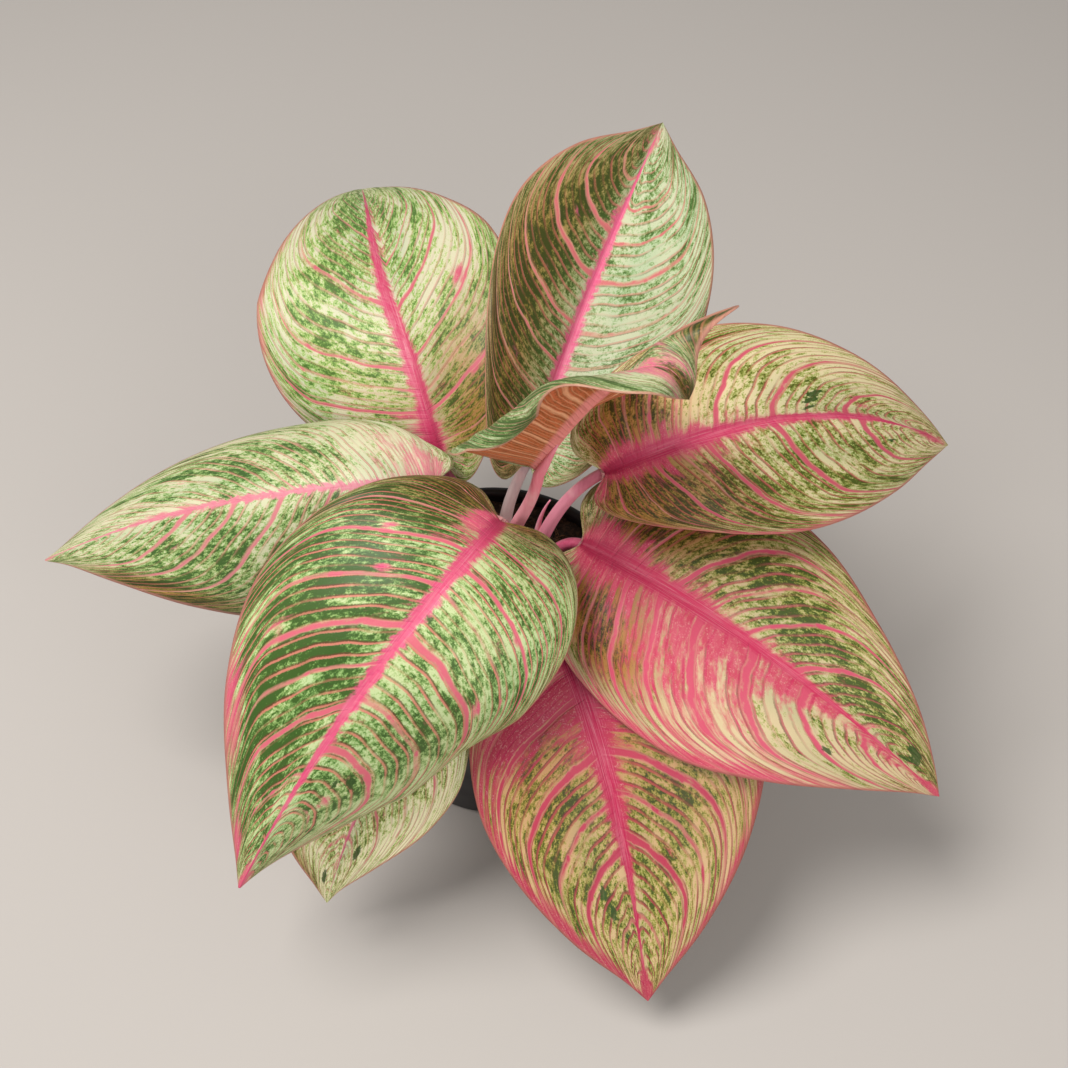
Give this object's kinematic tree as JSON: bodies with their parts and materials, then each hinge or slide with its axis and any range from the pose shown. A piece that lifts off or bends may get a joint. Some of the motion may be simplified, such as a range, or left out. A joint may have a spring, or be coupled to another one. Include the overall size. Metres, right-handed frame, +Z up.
{
  "type": "potted chinese evergreen",
  "caption": "Bushy house plant with broad, pink-veined, mottled leaves on pink stalks, growing from a short cane in a plain round nursery pot of soil.",
  "frame": {"origin": "middle of the flat underside of the pot, on the surface it stands on", "axes": "+Z up along the pot's axis; -Y towards the front of the plant, the side the camera looks from; +X to the right seen from the front"},
  "size_m": [0.3646, 0.3107, 0.2749],
  "materials": {
    "pot_plastic": "satin",
    "potting_soil": "matte",
    "cane_bark": "satin",
    "blade_green": "satin",
    "blade_cream": "satin",
    "blade_pink": "satin",
    "blade_young": "satin",
    "stalk_pink": "satin",
    "stalk_pale": "satin"
  },
  "bodies": {
    "root": {"pot": "pot_plastic", "soil": "potting_soil", "cane": "cane_bark", "blade_front_left": "blade_green", "blade_left": "blade_green", "blade_back_left": "blade_green", "blade_back_right": "blade_green", "blade_right": "blade_cream", "blade_front_right": "blade_pink", "blade_front": "blade_pink", "blade_low_left": "blade_green", "blade_centre": "blade_young", "stalk_front_left": "stalk_pink", "stalk_left": "stalk_pink", "stalk_back_left": "stalk_pink", "stalk_back_right": "stalk_pale", "stalk_right": "stalk_pink", "stalk_front_right": "stalk_pink", "stalk_front": "stalk_pink", "stalk_low_left": "stalk_pink", "stalk_centre": "stalk_pink"}
  },
  "joints": []
}
